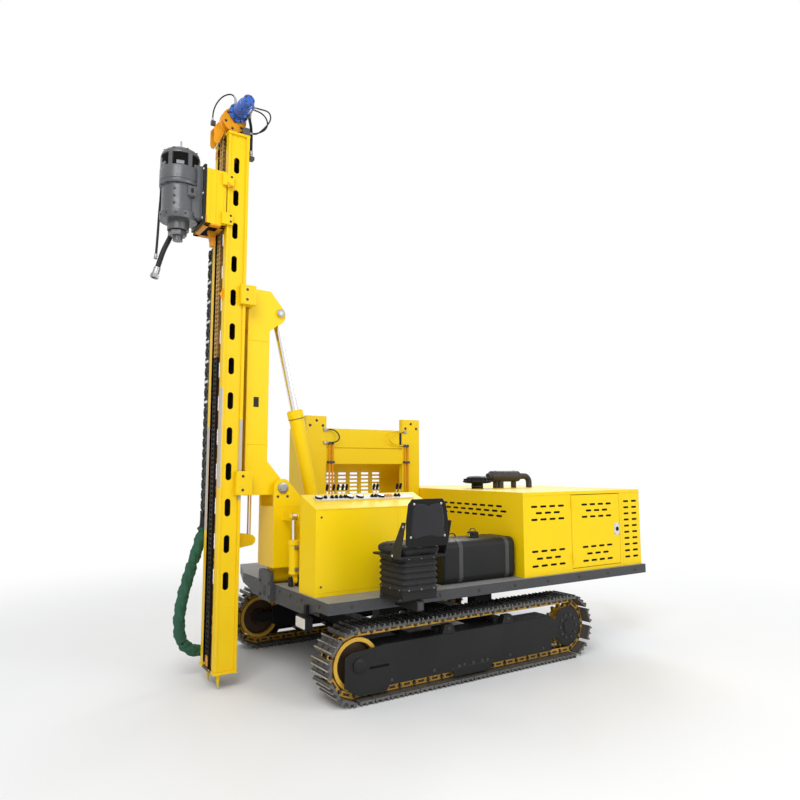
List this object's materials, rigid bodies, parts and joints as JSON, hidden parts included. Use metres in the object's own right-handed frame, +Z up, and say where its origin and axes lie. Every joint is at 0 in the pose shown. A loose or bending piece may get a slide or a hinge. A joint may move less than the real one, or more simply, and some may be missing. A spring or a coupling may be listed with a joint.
{
  "type": "pile driver rig",
  "caption": "Tracked pile driver rig: crawler base with deck, engine enclosure, operator seat and console, folding boom, sliding mast and a rotary driving head on a chain-fed carriage.",
  "frame": {"origin": "on the ground, midway along the tracks and midway between them", "axes": "+X to the machine's left, +Y to its rear, +Z up; the mast stands at the front, towards -Y"},
  "size_m": [2.562, 4.571, 4.816],
  "materials": {
    "yellow_paint": "gloss",
    "dark_grey_paint": "satin",
    "black_paint": "satin",
    "track_steel": "matt",
    "chrome_rod": "polished",
    "head_grey": "satin",
    "motor_blue": "gloss",
    "black_plastic": "matt",
    "seat_vinyl": "grained",
    "exhaust_steel": "matt",
    "gold_paint": "satin",
    "chain_steel": "oiled"
  },
  "bodies": {
    "root": {"bellows": "black_plastic", "cabinet_frame": "yellow_paint", "chassis": "black_paint", "console": "yellow_paint", "deck": "dark_grey_paint", "engine_block": "dark_grey_paint", "exhaust": "exhaust_steel", "front_beam": "dark_grey_paint", "front_panel": "yellow_paint", "fuel_tank": "black_paint", "idlers": "gold_paint", "louvre_panel": "yellow_paint", "rear_panel": "yellow_paint", "rollers": "black_paint", "roof": "yellow_paint", "seat_back": "seat_vinyl", "seat_base": "black_paint", "seat_cushion": "seat_vinyl", "seat_pan": "black_paint", "side_panel_left": "yellow_paint", "side_panel_right": "yellow_paint", "sprockets": "gold_paint", "tilt_bracket": "black_paint", "track_frame_left": "black_paint", "track_frame_right": "black_paint", "track_left": "track_steel", "track_right": "track_steel"},
    "door_left": {"door_left": "yellow_paint"},
    "door_right": {"door_right": "yellow_paint"},
    "tilt_barrel": {"tilt_barrel": "yellow_paint"},
    "tilt_rod": {"tilt_rod": "chrome_rod"},
    "base": {"base_box": "yellow_paint"},
    "fold_barrel": {"fold_barrel": "yellow_paint"},
    "fold_rod": {"fold_rod": "chrome_rod"},
    "boom": {"boom": "yellow_paint", "lift_barrel": "yellow_paint"},
    "mast": {"mast": "yellow_paint", "lift_rod": "chrome_rod", "feed_chain": "chain_steel", "energy_chain": "black_plastic", "feed_drive": "motor_blue"},
    "carriage": {"carriage": "yellow_paint", "rotary_head": "head_grey"},
    "spindle": {"spindle": "head_grey"}
  },
  "joints": [
    {"name": "door_left_hinge", "type": "hinge", "parent": "root", "child": "door_left", "pos_m": [1.0583, 1.157, 1.1], "axis": [0, 0, -1], "range_deg": [0, 105]},
    {"name": "door_right_hinge", "type": "hinge", "parent": "root", "child": "door_right", "pos_m": [-1.0583, 1.157, 1.1], "axis": [0, 0, 1], "range_deg": [0, 105]},
    {"name": "mast_side_tilt", "type": "hinge", "parent": "root", "child": "base", "pos_m": [0, -1.3, 0.8], "axis": [0, 1, 0], "range_deg": [-6, 6]},
    {"name": "tilt_barrel_swing", "type": "hinge", "parent": "root", "child": "tilt_barrel", "pos_m": [0.32, -1.302, 0.806], "axis": [0, 1, 0], "range_deg": [-6.5, 6.5]},
    {"name": "tilt_rod_slide", "type": "slide", "parent": "tilt_barrel", "child": "tilt_rod", "axis": [-0.0478, 0, 0.9989], "range_m": [-0.036, 0.036]},
    {"name": "boom_fold", "type": "hinge", "parent": "base", "child": "boom", "pos_m": [0, -1.343, 1.54], "axis": [-1, 0, 0], "range_deg": [0, 77]},
    {"name": "fold_barrel_swing", "type": "hinge", "parent": "base", "child": "fold_barrel", "pos_m": [0, -0.881, 1], "axis": [-1, 0, 0], "range_deg": [0, 61.6]},
    {"name": "fold_rod_slide", "type": "slide", "parent": "fold_barrel", "child": "fold_rod", "axis": [0, -0.2336, 0.9723], "range_m": [-0.76, 0]},
    {"name": "mast_lift", "type": "slide", "parent": "boom", "child": "mast", "axis": [0, 0, 1], "range_m": [0, 0.25]},
    {"name": "carriage_feed", "type": "slide", "parent": "mast", "child": "carriage", "axis": [0, 0, 1], "range_m": [-3, 0.25]},
    {"name": "spindle_turn", "type": "hinge", "parent": "carriage", "child": "spindle", "pos_m": [0, -2.244, 3.6], "axis": [0, 0, 1], "continuous": true}
  ],
  "couplings": [
    {"joint": "tilt_barrel_swing", "follows": "mast_side_tilt", "ratio": 0.98358},
    {"joint": "tilt_rod_slide", "follows": "mast_side_tilt", "m_per_rad": -0.31938},
    {"joint": "fold_barrel_swing", "follows": "boom_fold", "ratio": 0.79451},
    {"joint": "fold_rod_slide", "follows": "boom_fold", "m_per_rad": -0.56142}
  ]
}
